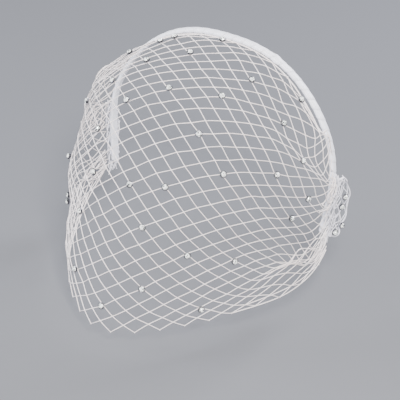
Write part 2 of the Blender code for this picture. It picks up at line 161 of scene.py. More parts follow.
def make_camera():
    """Backs away from the centre along the view direction and rolls about it."""
    a, e, r = VIEW_AZIMUTH, VIEW_ELEVATION, VIEW_ROLL
    back = np.array((math.sin(a) * math.cos(e), -math.cos(a) * math.cos(e), math.sin(e)))
    level = np.array((math.cos(a), math.sin(a), 0.0))
    up = np.cross(back, level)
    right = level * math.cos(r) + up * math.sin(r)
    top = up * math.cos(r) - level * math.sin(r)
    eye = VIEW_CENTRE + back * VIEW_DISTANCE + right * VIEW_SLIDE[0] + top * VIEW_SLIDE[1]
    lens = bpy.data.cameras.new("camera")
    lens.lens = LENS_MM
    lens.sensor_width = SENSOR_MM
    lens.clip_start = NEAREST_SEEN
    made = add_object("camera", lens)
    stand(made, eye, right, top, back)
    bpy.context.scene.camera = made
    return made


camera = make_camera()
print("camera at", np.round(camera.matrix_world.translation, 3))

# %% [markdown]
# White thread needs a floor that is pale but a step darker than the thread, and light that comes
# mostly from one side, so that each thread has a bright and a dark flank.

# %% Floor and lights
FLOOR_DROP = 0.012
FLOOR_SIZE = 6.0
FLOOR_COLOUR = (0.135, 0.139, 0.150)
FLOOR_ROUGHNESS = 0.9


def make_floor():
    """A flat square just under the hem, far wider than the view."""
    level = cad_low[2] - FLOOR_DROP
    half = FLOOR_SIZE / 2
    signs = ((-1, -1), (1, -1), (1, 1), (-1, 1))
    mesh = bpy.data.meshes.new("floor")
    mesh.from_pydata([(x * half, y * half, level) for x, y in signs], [], [(0, 1, 2, 3)])
    paint = {"Base Color": (*FLOOR_COLOUR, 1.0), "Roughness": FLOOR_ROUGHNESS}
    mesh.materials.append(Finish("floor_paint").surface(paint))
    floor = add_object("floor", mesh)
    floor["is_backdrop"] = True


# (name, place, size, power in watts, colour)
LIGHTS = (
    ("key", (0.70, -1.10, 0.95), 0.35, 74.0, (1.0, 0.97, 0.95)),
    ("left", (-1.15, -0.70, 0.55), 0.60, 30.0, (0.84, 0.89, 1.0)),
    ("rim", (0.35, 1.10, 0.85), 0.50, 36.0, (0.88, 0.90, 1.0)),
)
WORLD_GREY = 0.38


def make_lights():
    """Square soft lights, each aimed at the middle of the view, and an even grey all round."""
    for name, place, size, power, colour in LIGHTS:
        lamp = bpy.data.lights.new(name, "AREA")
        lamp.size = size
        lamp.energy = power
        lamp.color = colour
        back = np.array(place) - VIEW_CENTRE
        back = back / np.linalg.norm(back)
        side = np.cross((0, 0, 1), back)
        side = side / np.linalg.norm(side)
        stand(add_object(name, lamp), place, side, np.cross(back, side), back)
    world = bpy.data.worlds.new("studio")
    world.use_nodes = True
    sky = world.node_tree.nodes["Background"]
    sky.inputs["Color"].default_value = (WORLD_GREY, WORLD_GREY, WORLD_GREY, 1.0)
    bpy.context.scene.world = world


make_floor()
make_lights()
print("lights:", [row[0] for row in LIGHTS])

# %% [markdown]
# The sizes below are the ones that the solids were made from, so every thread lies where its
# solid lies. All lengths are in metres.

# %% Sizes of the band, the net and the gathers
BAND_HALF_WIDTH = 0.084
BAND_HEIGHT = 0.1165
BAND_LEAN = 0.0065
BAND_ROUNDNESS = 2.44
BAND_BULGE = 0.0042
BAND_TURN_IN = 0.0036
BAND_WIDTH = 0.0062
BAND_THICKNESS = 0.0032
RIBBON_PITCH = 0.0072
RIBBON_STEP = 0.00025
NET_REACH = 0.1296
NET_DROP = 0.1598
NET_WALL = 0.0012
CELL_SIDE = 0.00917
ROWS = 42
COLUMNS = 20
LAP_OVER_BAND = 0.0025
LIFT_OVER_BAND = 0.0005
NET_BOW = 0.0045
NET_FOLLOWS_BAND = 0.25
HINGE_ABOVE_END = 0.012
HINGE_BELOW_END = 0.0215
HINGE_SLANT = 0.0045
FORK_COLUMN = 11
DRAW_TOP = 2
DRAW_HEM = 5
GATHER_ABOVE_END = 0.042
GATHER_BELOW_END = 0.009
GATHER_SLANT = 0.003
GATHER_FRONT = 0.0065
GATHER_BACK = 0.004
GATHER_RIM = 0.0024
GATHER_THICKNESS = 0.0042
GATHER_DRAW = 0.5
GATHER_PLEATS = 8
RUFFLE_ABOVE_END = 0.039
RUFFLE_BELOW_END = 0.005
RUFFLE_REACH = 0.0115
RUFFLE_FLARE = 0.0040
RUFFLE_SPREAD = 100
RUFFLE_TILT = 0.30
RUFFLE_TIP_SHARE = 0.10
RUFFLE_WAVE = 0.0008
RUFFLE_ROUNDNESS = 0.7
RUFFLE_WAVES = 4
RUFFLE_RIM_SHARE = 0.4
GAP = 0.0003

# Middle line of the net, from the band to the hem: (row share, share of reach, share of drop)
MIDLINE = (
    (0.000, 0.000, 0.000),
    (0.167, 0.302, 0.050),
    (0.333, 0.569, 0.125),
    (0.500, 0.752, 0.298),
    (0.667, 0.862, 0.528),
    (0.833, 0.950, 0.763),
    (1.000, 1.000, 1.000),
)

# Shape of the rows down the net: (row share, roundness of the arch, share of the bow, cut off)
ARCHES = (
    (0.00, 2.31, 0.95, 0.28),
    (0.12, 2.28, 0.90, 0.18),
    (0.25, 2.26, 0.40, 0.07),
    (0.50, 2.08, 0.75, 0.05),
    (0.63, 2.06, 1.00, 0.05),
    (0.75, 1.72, 1.00, 0.05),
    (0.88, 1.70, 1.00, 0.05),
    (1.00, 1.53, 1.00, 0.05),
)

# Folds that run into the gathers: (row share, half width share, start column share, height share)
PLEAT_HEIGHT = 0.004
PLEAT_GROWTH = 1.5
PLEATS = (
    (0.095, 0.060, 0.35, 1.00),
    (0.286, 0.060, 0.40, 0.90),
    (0.520, 0.070, 0.60, 0.50),
    (0.762, 0.070, 0.55, 0.70),
)

# The crystals in their cups
STONE_WIDTH = 0.0042
STONE_HEIGHT = 0.0026
CUP_HEIGHT = 0.0013

# Knots of the net that carry a crystal: (column from the middle, row from the band)
STONES = (
    (-4, 3), (-5, 4), (-8, 5), (-4, 9), (-1, 6), (0, 1), (-6, 13), (0, 13), (-3, 16), (-10, 15),
    (5, 6), (4, 11), (-5, 20), (9, 8), (9, 2), (4, 17), (-11, 24), (-4, 25), (0, 25), (3, 24),
    (7, 20), (11, 16), (12, 11), (-12, 31), (-10, 31), (-5, 30), (2, 29), (6, 31), (10, 31),
    (-4, 37), (0, 39), (3, 36), (8, 39), (14, 21), (15, 16),
)

# Crystals on the loose ends: (1 for the wearer's left or -1 for the right, share down, share out)
RUFFLE_STONES = (
    (1, 0.45, 0.34), (1, 0.30, 0.42), (1, 0.84, 0.46), (1, 0.70, 0.82), (-1, 0.40, 0.60),
)

BAND_END_Z = BAND_THICKNESS / 2 - BAND_HEIGHT
SEAT_OFFSET = BAND_THICKNESS / 2 + RIBBON_STEP + GAP
NET_END_X = BAND_HALF_WIDTH + SEAT_OFFSET + GATHER_RIM / 2
HINGE_TOP = np.array((NET_END_X, BAND_LEAN, BAND_END_Z + HINGE_ABOVE_END))
HINGE_BOTTOM = np.array((NET_END_X, BAND_LEAN + HINGE_SLANT, BAND_END_Z - HINGE_BELOW_END))
NET_TOP_Y = -LAP_OVER_BAND
NET_TOP_Z = BAND_THICKNESS + RIBBON_STEP + LIFT_OVER_BAND + NET_WALL / 2
print("band end and net start, mm:", round(BAND_END_Z * 1000, 1), round(NET_TOP_Z * 1000, 2))

# %% [markdown]
# A few small tools serve every piece. They scale vectors to length one, find directions across a
# normal, measure a path, ease from 0 to 1, and draw a smooth curve through a few chosen values,
# the way a bent spline of wood would pass through pins.

# %% Curves and directions


def unit(vectors):
    """Each vector divided by its own length."""
    return vectors / np.maximum(np.linalg.norm(vectors, axis=-1, keepdims=True), 1e-12)


def across_pair(normals):
    """Two directions across each normal, at right angles to each other."""
    helper = np.where(np.abs(normals[:, 2:3]) < 0.9, (0.0, 0.0, 1.0), (1.0, 0.0, 0.0))
    across = unit(np.cross(helper, normals))
    return across, np.cross(normals, across)


def path_lengths(points):
    """The length of the path up to each of its points: the sum of the steps before it."""
    return np.concatenate(([0.0], np.cumsum(np.linalg.norm(np.diff(points, axis=0), axis=1))))


def signed_power(value, power):
    """The size of a value raised to a power, with the value's sign."""
    return np.sign(value) * np.abs(value) ** power


def ease(value, start, end):
    """Rises from 0 at the start to 1 at the end along a smooth S."""
    t = np.clip((value - start) / (end - start), 0, 1)
    return t * t * (3 - 2 * t)


def smooth_curve(shares, values, at):
    """A natural cubic curve: cubics that meet with equal slope and bend, straight at the ends."""
    shares, values, at = (np.asarray(v, float) for v in (shares, values, at))
    step = np.diff(shares)
    slope = np.diff(values) / step
    count = len(shares)
    left = np.eye(count)
    right = np.zeros(count)
    for k in range(1, count - 1):
        left[k, k - 1:k + 2] = (step[k - 1], 2 * (step[k - 1] + step[k]), step[k])
        right[k] = 6 * (slope[k] - slope[k - 1])
    bend = np.linalg.solve(left, right)
    k = np.clip(np.searchsorted(shares, at) - 1, 0, count - 2)
    a = at - shares[k]
    b = shares[k + 1] - at
    h = step[k]
    return (
        (bend[k] * b**3 + bend[k + 1] * a**3) / (6 * h)
        + (values[k] / h - bend[k] * h / 6) * b
        + (values[k + 1] / h - bend[k + 1] * h / 6) * a
    )


print("half way through an ease:", float(ease(0.5, 0, 1)))

# %% [markdown]
# The band is a horseshoe that runs from ear to ear. Its middle line is a superellipse: a circle's
# sine and cosine raised to a power a little under one, which squares its shoulders.

# %% Middle line of the band
SIDE_SAMPLES = 400


def band_bulge(height):
    """How far the band stands out at a height: a hump half way up, less its ends' turn inwards."""
    share = np.clip((height - BAND_END_Z) / BAND_HEIGHT, 0, 1)
    return BAND_BULGE * np.sin(math.pi * share) ** 2 - BAND_TURN_IN * (1 - share) ** 3


def band_centre(turn):
    """Width times cosine to a power, height times sine to that power; turn 1 is half a circle."""
    angle = math.pi * np.asarray(turn, float)
    power = 2 / BAND_ROUNDNESS
    rise = np.maximum(np.sin(angle), 0) ** power
    across = signed_power(np.cos(angle), power)
    height = BAND_END_Z + BAND_HEIGHT * rise
    sideways = (BAND_HALF_WIDTH + band_bulge(height)) * across
    return np.stack((sideways, BAND_LEAN * (1 - rise), height), axis=-1)


def band_side(height):
    """The left side of the band's middle line at a height; below its end it stays at the end."""
    dense = band_centre(np.linspace(0, 0.25, SIDE_SAMPLES))
    level = np.clip(height, dense[0, 2], dense[-1, 2])
    found = np.stack([np.interp(level, dense[:, 2], dense[:, axis]) for axis in range(3)], axis=-1)
    found[..., 2] = height
    return found


def gather_line(share):
    """The seat of the left gather at a row share: down the band's outer face, then past its end."""
    share = np.asarray(share, float)
    seat = band_side(BAND_END_Z + GATHER_ABOVE_END - (GATHER_ABOVE_END + GATHER_BELOW_END) * share)
    seat[..., 0] += SEAT_OFFSET
    seat[..., 1] += GATHER_SLANT * share
    return seat


def hinge_line(share):
    """A straight line by the ear that the arches of the net turn about."""
    share = np.asarray(share, float)[..., None]
    return HINGE_TOP + (HINGE_BOTTOM - HINGE_TOP) * share


def midline(share):
    """The middle line of the net over the forehead and the face."""
    at, *columns = np.array(MIDLINE).T
    forward, down = (smooth_curve(at, column, share) for column in columns)
    level = NET_TOP_Z - NET_DROP * down
    return np.stack((0 * forward, NET_TOP_Y - NET_REACH * forward, level), axis=-1)


def row_heading(share):
    """The direction in which a row leaves the gather, in the upright plane of the ear."""
    heading = midline(share) - gather_line(share)
    heading[..., 0] = 0
    level = np.array((0.0, -1.0, 0.0))
    return unit(GATHER_DRAW * unit(heading) + (1 - GATHER_DRAW) * level)


print("crown of the band:", np.round(band_centre(0.5) * 1000, 1), "mm")

# %% [markdown]
# The veil is one sheet of diamond net. A net has a simple law: its threads don't stretch, so the
# side of every diamond keeps its length. Where two rows lie close together, the columns have to
# lie far apart, and the other way round. The surface below obeys that law over the face. Past a
# fork at each side the rows are drawn together into the gather by the ear.

# %% Surface of the net
STEPS_PER_COLUMN = 4
ARCH_SAMPLES = 160
LEAST_COLUMN_SHARE = 0.25


class VeilSurface:
    """A point and an outward direction for any column and row.

    A row is a superellipse arch from ear to ear. Its columns are spaced by the root of the cell
    side squared less the row distance squared.
    """

    def __init__(self):
        share = np.arange(ROWS + 1) / ROWS
        middle = midline(share)
        ends = hinge_line(share)
        at, *columns = np.array(ARCHES).T
        roundness, bow, cut = (np.interp(share, at, column) for column in columns)
        span = np.linalg.norm((middle - ends)[:, 1:], axis=1)
        cut = np.maximum(cut, GATHER_FRONT / span)
        last = np.arcsin(cut ** (roundness / 2))
        angle = np.linspace(0, 1, ARCH_SAMPLES + 1)[None] * (math.pi / 2 - last)[:, None]
        power = (2 / roundness)[:, None]
        forward, sideways = np.cos(angle) ** power, np.sin(angle) ** power
        points = np.empty((ROWS + 1, ARCH_SAMPLES + 1, 3))
        points[..., 0] = NET_END_X * sideways
        points[..., 1:] = ends[:, None, 1:] + (middle - ends)[:, None, 1:] * forward[..., None]
        follows = np.exp(-((share / NET_FOLLOWS_BAND) ** 2))[:, None]
        points[..., 0] += band_bulge(points[..., 2]) * sideways * follows
        points[..., 1] -= NET_BOW * bow[:, None] * 4 * forward * (1 - forward)
        self.steps = np.linspace(0, COLUMNS, STEPS_PER_COLUMN * COLUMNS + 1)
        half = self._spaced(points)
        front = gather_line(share) + row_heading(share) * GATHER_FRONT
        front[:, 0] += GATHER_RIM / 2
        grow = np.clip((self.steps - FORK_COLUMN) / (COLUMNS - FORK_COLUMN), 0, 1)
        drawn = grow[None] ** (DRAW_TOP + (DRAW_HEM - DRAW_TOP) * share[:, None])
        half += (front - half[:, -1])[:, None] * drawn[..., None]
        half += self._facing(half) * self._pleat_lift(share)[..., None]
        self.half = half
        self.facing = self._facing(half)

    def _spaced(self, points):
        """Reads the arches again at even steps of the column count that the thread law gives."""
        along = np.gradient(points, axis=1)
        pace = np.linalg.norm(along, axis=2)
        along = along / pace[..., None]
        down = np.gradient(points, axis=0)
        down = down - (down * along).sum(-1, keepdims=True) * along
        apart = np.linalg.norm(down, axis=2)
        least = (LEAST_COLUMN_SHARE * CELL_SIDE) ** 2
        rate = pace / np.sqrt(np.maximum(CELL_SIDE**2 - apart**2, least))
        count = np.zeros_like(rate)
        count[:, 1:] = np.cumsum((rate[:, 1:] + rate[:, :-1]) / 2, axis=1)
        beyond = np.maximum(count - FORK_COLUMN, 0)
        count = np.minimum(count, FORK_COLUMN) + beyond * (COLUMNS - FORK_COLUMN) / beyond[:, -1:]
        half = np.empty((ROWS + 1, len(self.steps), 3))
        for row in range(ROWS + 1):
            for axis in range(3):
                half[row, :, axis] = np.interp(self.steps, count[row], points[row, :, axis])
        return half

    def _facing(self, half):
        """Across the two grid directions, so it looks outwards; mirrored columns pad the middle."""
        mirrored = half[:, 1:5][:, ::-1] * (-1, 1, 1)
        padded = np.concatenate((mirrored, half), axis=1)
        return unit(np.cross(np.gradient(padded, axis=0), np.gradient(padded, axis=1)))[:, 4:]

    def _pleat_lift(self, share):
        """Low ridges that grow from the cheek towards the gather and die out in it."""
        lift = np.zeros((ROWS + 1, len(self.steps)))
        for row_share, width, start, height in PLEATS:
            ridge = np.exp(-(((share - row_share) / width) ** 2))[:, None]
            grow = np.clip((self.steps / COLUMNS - start) / (1 - start), 0, 1)
            lift += PLEAT_HEIGHT * height * ridge * np.sin(math.pi * grow**PLEAT_GROWTH)[None]
        return lift

    def read(self, table, column, row):
        """Reads a table between its rows and steps; the right half is the left half mirrored."""
        across = np.clip(np.abs(column) * STEPS_PER_COLUMN, 0, len(self.steps) - 1.001)
        down = np.clip(row, 0, ROWS - 0.001)
        i, j = across.astype(int), down.astype(int)
        f, g = (across - i)[..., None], (down - j)[..., None]
        found = (1 - g) * ((1 - f) * table[j, i] + f * table[j, i + 1])
        found = found + g * ((1 - f) * table[j + 1, i] + f * table[j + 1, i + 1])
        found[..., 0] = np.where(column < 0, -found[..., 0], found[..., 0])
        return found

    def point(self, column, row):
        return self.read(self.half, column, row)

    def normal(self, column, row):
        return unit(self.read(self.facing, column, row))


veil = VeilSurface()
print("hem at the chin:", np.round(veil.point(np.array(0.0), np.array(42.0)) * 1000, 1), "mm")

# %% [markdown]
# A net that is worn has tucks. Where it is drawn up, a few rows run together into one thick line
# and stand a little proud. A tuck is a change of the row number before the surface is read: rows
# near its middle are pulled towards it, more and more from its start to the gather. Every knot
# also sits a little off its ideal place, as it does in a hand-tied net.

# %% Knots of the net
# (middle row, rows on each side, start column, strength, height in metres)
TUCKS = (
    (3.2, 2.6, 8.0, 0.85, 0.0010),
    (11.0, 3.0, 8.0, 0.93, 0.0016),
    (17.5, 2.2, 14.5, 0.60, 0.0014),
)
TUCK_GROWTH = 0.7
# Places where the net stands off in a small puff: (column, row, column reach, row reach, height)
PUFFS = (
    (-13.0, 7.0, 2.4, 2.6, 0.0052),
    (-16.0, 15.0, 3.0, 3.0, 0.0022),
    (17.5, 15.0, 2.0, 2.0, 0.0020),
)
# The lower rows lie in three plies at the ear: (row of the net, row that it lies on, height)
PLIES = (
    (0.0, 0.0, 0.0),
    (21.0, 21.0, 0.0),
    (28.0, 39.0, 0.0006),
    (35.0, 25.0, 0.0018),
    (42.0, 42.0, 0.0030),
)
# Where the plies start on each side: (column at the hem, columns later per row above it)
PLY_START = ((10.5, 0.25), (13.5, 0.12))
PLY_LENGTH = 5.5
KNOT_SEED = 4
KNOT_WANDER = 0.00022

# How the topmost rows slip off the band, and the columns between which that changes
EDGE_DROP_CROWN = 0.0046
EDGE_DROP_SIDE = 0.0032
EDGE_SLIT = 0.0030
EDGE_FADE_ROWS = 1.6
EDGE_SIDE_COLUMNS = (4.0, 8.0)
EDGE_END_COLUMNS = (17.5, 19.5)

# How far up the band the rows are sewn on at the ear: (row, rise in metres at the last column)
SEWN_UP = (
    (0, 0.0276), (2, 0.0294), (4, 0.0300), (6, 0.0240), (8, 0.0190), (11, 0.0127), (14, 0.0085),
    (18, 0.0015), (21, -0.0030), (24, -0.0050), (30, -0.0040), (36, -0.0020), (42, 0.0),
)
SEWN_FROM_COLUMN = 12.0
SEWN_BACK = 0.0026
SEWN_IN = 0.0022
SEWN_ON_COLUMNS = (17, 20)
SEWN_OFF_ROWS = (10, 13)


def tucked(column, row):
    """The row moved towards each tuck's middle by a bell-shaped share, and the height there.

    The height adds the tucks, the puffs and the plies, which take the lower rows to other rows.
    """
    moved = np.array(row, float)
    height = np.zeros_like(moved)
    for middle, reach, start, strength, lift in TUCKS:
        grow = np.clip((np.abs(column) - start) / (COLUMNS - start), 0, 1) ** TUCK_GROWTH
        bell = np.exp(-(((row - middle) / reach) ** 2))
        moved = moved - (row - middle) * strength * grow * bell
        height = height + lift * bell**2 * np.sin(math.pi * grow)
    for middle_column, middle_row, wide, tall, lift in PUFFS:
        off = ((column - middle_column) / wide) ** 2 + ((row - middle_row) / tall) ** 2
        height = height + lift * np.exp(-off)
    rows, places, lifts = np.array(PLIES).T
    left, right = (first + later * (ROWS - moved) for first, later in PLY_START)
    start = np.where(column > 0, left, right)
    fold = ease(np.abs(column), start, start + PLY_LENGTH)
    height = height + fold * np.interp(moved, rows, lifts)
    return moved + (np.interp(moved, rows, places) - moved) * fold, height


def sewn_up(points, column, row):
    """Near the ear the upper rows climb along the band and end on its front edge.

    The rise comes from a table by row and grows evenly with the column; the sideways part keeps to
    the band's own outline at the new height.
    """
    rows, rises = np.array(SEWN_UP).T
    share = np.clip((np.abs(column) - SEWN_FROM_COLUMN) / (COLUMNS - SEWN_FROM_COLUMN), 0, 1)
    level = points[..., 2]
    raised = level + np.interp(row, rows, rises) * share
    narrower = band_side(raised.ravel())[:, 0] - band_side(level.ravel())[:, 0]
    onto = ease(np.abs(column), *SEWN_ON_COLUMNS) * (1 - ease(row, *SEWN_OFF_ROWS))
    sideways = np.sign(column) * (narrower.reshape(level.shape) - SEWN_IN * onto)
    return np.stack((sideways, SEWN_BACK * onto, raised - level), axis=-1)


def edge_seat(points, column, row):
    """How far the topmost rows slip off the band: inwards and forward, dying out in two rows.

    At the crown the threads come from under the band; at the sides they leave a slit before it.
    """
    ends = ease(np.abs(column), *EDGE_END_COLUMNS)
    fade = np.exp(-((row / EDGE_FADE_ROWS) ** 2)) * (1 - ends)
    sides = ease(np.abs(column), *EDGE_SIDE_COLUMNS)
    inward = points * (-1, 0, -1)
    inward[..., 2] += BAND_END_Z
    moved = unit(inward) * (EDGE_DROP_CROWN + (EDGE_DROP_SIDE - EDGE_DROP_CROWN) * sides)[..., None]
    moved[..., 1] -= EDGE_SLIT * sides
    return moved * fade[..., None]


def seated(column, row):
    """A point and a direction of the worn net: tucked, sewn up at the ear and off the band."""
    moved, height = tucked(column, row)
    normals = veil.normal(column, moved)
    points = veil.point(column, moved)
    points = points + sewn_up(points, column, moved)
    points = points + edge_seat(points, column, row)
    return points + normals * height[..., None], normals


def knot_places(columns, rows, rng):
    """Points and normals for a grid of knots; only the outermost columns don't wander."""
    row, column = np.meshgrid(rows, columns, indexing="ij")
    points, normals = seated(column, row)
    wander = rng.normal(0, KNOT_WANDER, normals.shape)
    edge = np.abs(column)[..., None] >= COLUMNS
    return points + np.where(edge, 0, wander), normals


veil_columns = np.arange(-COLUMNS, COLUMNS + 1, dtype=float)
veil_rows = np.arange(0, ROWS + 1, dtype=float)
veil_knots = knot_places(veil_columns, veil_rows, np.random.default_rng(KNOT_SEED))
print("knots:", int(((veil_columns[None] + veil_rows[:, None]) % 2 == 1).sum()))

# %% [markdown]
# A thread is a thin tube: rings of corners, joined by number into four-sided faces. Its own UV
# runs along it with u and round it with v. The cord of an edge, a thread of the net and the band
# are all made with the same few tools.

# %% Rings and tubes
THREAD_SIDES = 6
TWISTS_PER_METRE = 600.0


def round_angles(sides):
    """Even angles once round a circle."""
    return 2 * math.pi * np.arange(sides) / sides


def corner_pairs(sides):
    """The number of each corner of a ring and of the corner after it."""
    side = np.arange(sides)
    return side, (side + 1) % sides


def spokes(first, second, sides):
    """Directions once round: cosine along the first direction, sine along the second."""
    angle = round_angles(sides)[:, None]
    return np.cos(angle) * first[..., None, :] + np.sin(angle) * second[..., None, :]


def ring(points, forward, normals, radius):
    """Corners of circles about the points, square to the way forward."""
    forward = unit(forward)
    across = unit(np.cross(forward, normals))
    around = spokes(np.cross(across, forward), across, THREAD_SIDES)
    return (points[..., None, :] + radius * around).reshape(-1, 3)


def tube_faces(chain, run, sides):
    """Quads and UVs of tubes: the chain numbers each tube's rings, the run is u at each of them."""
    side, after = corner_pairs(sides)
    a, b = chain[:, :-1, None] * sides, chain[:, 1:, None] * sides
    quads = np.stack((a + side, a + after, b + after, b + side), axis=-1).reshape(-1, 4)
    u0, u1, v0, v1 = np.broadcast_arrays(
        run[:, :-1, None], run[:, 1:, None], side / sides, (side + 1) / sides
    )
    uvs = np.stack((u0, v0, u0, v1, u1, v1, u1, v0), axis=-1).reshape(-1, 4, 2)
    return quads, uvs


def split_caps(caps):
    """Splits many-sided faces into triangles about their first corners."""
    return np.concatenate([caps[:, (0, k, k + 1)] for k in range(1, caps.shape[1] - 1)])


def one_tube(corners, run, sides):
    """The faces of a single tube, closed with a flat cap at each end."""
    count = len(run)
    quads, uvs = tube_faces(np.arange(count)[None], run[None], sides)
    side = np.arange(sides)
    caps = split_caps(np.stack((-side % sides, (count - 1) * sides + side)))
    return corners, quads, caps, uvs


def thread_along(points, normals, radius):
    """One thread along a row of points."""
    corners = ring(points, np.gradient(points, axis=0), normals, radius)
    return one_tube(corners, path_lengths(points) * TWISTS_PER_METRE, THREAD_SIDES)


print("corners in a ring of a thread:", len(round_angles(THREAD_SIDES)))

# %% [markdown]
# All the tubes of a net are made at once: each knot gets a ring of corners, each stretch between
# two knots gets a few more rings, and the rings are joined by number. A stretch bends like a
# Catmull-Rom curve, which takes its slope at a knot from the knots on both sides, so a thread
# runs on smoothly through its knots.

# %% Threads between knots
RINGS_PER_SIDE = 4
TWISTS_PER_SIDE = 5.0


def thread_family(points, normals, lean, radius, parity):
    """Tubes along every diagonal of a grid that leans to one side: corners, quads, caps, UVs."""
    rows, columns = points.shape[:2]
    r, c = np.indices((rows, columns))
    is_knot = (r + c) % 2 == parity
    has_below = is_knot & (r + 1 < rows) & (c + lean >= 0) & (c + lean < columns)
    has_above = is_knot & (r >= 1) & (c - lean >= 0) & (c - lean < columns)
    used = has_below | has_above
    ring_of = np.cumsum(used).reshape(used.shape) - 1
    ahead = np.where(has_below[..., None], np.roll(points, (-1, -lean), (0, 1)), points)
    behind = np.where(has_above[..., None], np.roll(points, (1, lean), (0, 1)), points)
    slope = ahead - behind
    slope = np.where((has_below & has_above)[..., None], slope / 2, slope)
    knots = ring(points[used], slope[used], normals[used], radius)
    er, ec = np.nonzero(has_below)
    near, far = (er, ec), (er + 1, ec + lean)
    p0, p1, d0, d1 = (table[at][:, None] for table in (points, slope) for at in (near, far))
    t = (np.arange(1, RINGS_PER_SIDE) / RINGS_PER_SIDE)[None, :, None]
    between = (
        (2 * t**3 - 3 * t**2 + 1) * p0 + (t**3 - 2 * t**2 + t) * d0
        + (3 * t**2 - 2 * t**3) * p1 + (t**3 - t**2) * d1
    )
    heading = (
        6 * (t**2 - t) * (p0 - p1) + (3 * t**2 - 4 * t + 1) * d0 + (3 * t**2 - 2 * t) * d1
    )
    facing = unit((1 - t) * normals[near][:, None] + t * normals[far][:, None])
    middle = ring(between, heading, facing, radius)
    stretches = len(er)
    chain = np.empty((stretches, RINGS_PER_SIDE + 1), int)
    chain[:, 0], chain[:, -1] = ring_of[near], ring_of[far]
    inner = np.arange(stretches * (RINGS_PER_SIDE - 1)).reshape(stretches, -1)
    chain[:, 1:-1] = used.sum() + inner
    run = (er[:, None] + np.arange(RINGS_PER_SIDE + 1) / RINGS_PER_SIDE) * TWISTS_PER_SIDE
    quads, uvs = tube_faces(chain, run, THREAD_SIDES)
    side = np.arange(THREAD_SIDES)
    tops = ring_of[used & ~has_above][:, None] * THREAD_SIDES + side[::-1]
    tails = ring_of[used & ~has_below][:, None] * THREAD_SIDES + side
    caps = split_caps(np.concatenate((tops, tails)))
    return np.concatenate((knots, middle)), quads, caps, uvs


print("a stretch of thread has", RINGS_PER_SIDE * THREAD_SIDES * 2, "triangles")

# %% [markdown]
# A knot is a flat ball on the crossing of two threads. One ball is worked out as rings between
# two poles, and its faces are numbered again for each of its copies.

# %% Balls for the knots
BALL_SIDES = 6
# Rings of a ball: (share of the height, share of the radius)
BALL_RINGS = ((-0.62, 0.78), (0.0, 1.0), (0.62, 0.78))


def about(pole, one, two):
    """Triangles from one corner to each pair of corners."""
    return np.stack((np.full_like(one, pole), one, two), 1)


def repeated(faces, count, size):
    """The faces of one part again for each of its copies, with a given number of corners each."""
    base = np.arange(count)[:, None, None] * size
    return (base + faces).reshape(-1, faces.shape[1])


def small_balls(points, normals, radius, height):
    """Flattened balls on the points: three rings of corners between two poles."""
    around = spokes(*across_pair(normals), BALL_SIDES) * radius
    low, high = ((points + normals * lift)[:, None] for lift in (-height, height))
    rings = [
        points[:, None] + around * wide + normals[:, None] * height * level
        for level, wide in BALL_RINGS
    ]
    corners = np.concatenate((low, *rings, high), axis=1)
    k, n = corner_pairs(BALL_SIDES)
    first, second, third = (1 + BALL_SIDES * place for place in range(3))
    quads = np.concatenate([
        np.stack((a + k, a + n, b + n, b + k), 1) for a, b in ((first, second), (second, third))
    ])
    count, size = corners.shape[:2]
    ends = np.concatenate((about(0, first + n, first + k), about(size - 1, third + k, third + n)))
    return corners.reshape(-1, 3), repeated(quads, count, size), repeated(ends, count, size), None


print("a knot has", 2 + BALL_SIDES * len(BALL_RINGS), "corners")

# %% [markdown]
# Every mesh below comes out of arrays: corner places, four-sided faces, three-sided faces and one
# UV pair per face corner. The arrays go into the mesh in a few bulk calls, which is quick even
# for a hundred thousand faces.

# %% Mesh from arrays


def mesh_piece(name, groups, finish, smooth=True):
    """Joins groups of (corners, quads, triangles, quad UVs) into one object on the root body."""
    corners, loops, sizes, uvs = [], [], [], []
    base = 0
    for points, quads, triangles, quad_uvs in groups:
        corners.append(points)
        for faces, given in ((quads, quad_uvs), (triangles, None)):
            if faces is None:
                continue
            loops.append((faces + base).reshape(-1))
            sizes.append(np.full(len(faces), faces.shape[1]))
            uvs.append(np.zeros((faces.size, 2)) if given is None else given.reshape(-1, 2))
        base += len(points)
    corners, loops, sizes, uvs = (np.concatenate(part) for part in (corners, loops, sizes, uvs))
    mesh = bpy.data.meshes.new(name)
    mesh.vertices.add(len(corners))
    mesh.vertices.foreach_set("co", corners.astype(np.float32).ravel())
    mesh.loops.add(len(loops))
    mesh.loops.foreach_set("vertex_index", loops.astype(np.int32))
    mesh.polygons.add(len(sizes))
    starts = np.concatenate(([0], np.cumsum(sizes)[:-1]))
    mesh.polygons.foreach_set("loop_start", starts.astype(np.int32))
    mesh.polygons.foreach_set("use_smooth", np.full(len(sizes), smooth))
    layer = mesh.uv_layers.new(name="UVMap")
    mesh.update(calc_edges=True)
    layer.data.foreach_set("uv", uvs.astype(np.float32).ravel())
    mesh.validate()
    mesh.materials.append(finish)
    made = add_object(name, mesh)
    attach(made, "root")
    print(name, "triangles:", int((sizes - 2).sum()))
    return made


# %% [markdown]
# The thread is soft cotton of two or three plies with a little pink in its white. The plies wind
# about the thread, so their bump and a painted shade in the grooves between them follow the
# mesh's own UV: u runs along the thread, v runs around it, and a stripe across u plus v is a
# spiral. A noise on the object's coordinates makes the colour uneven from place to place.

# %% Thread finish
THREAD_PLIES = 3.0
TINT_PATCHES = 90.0
FIBRES = 2600.0


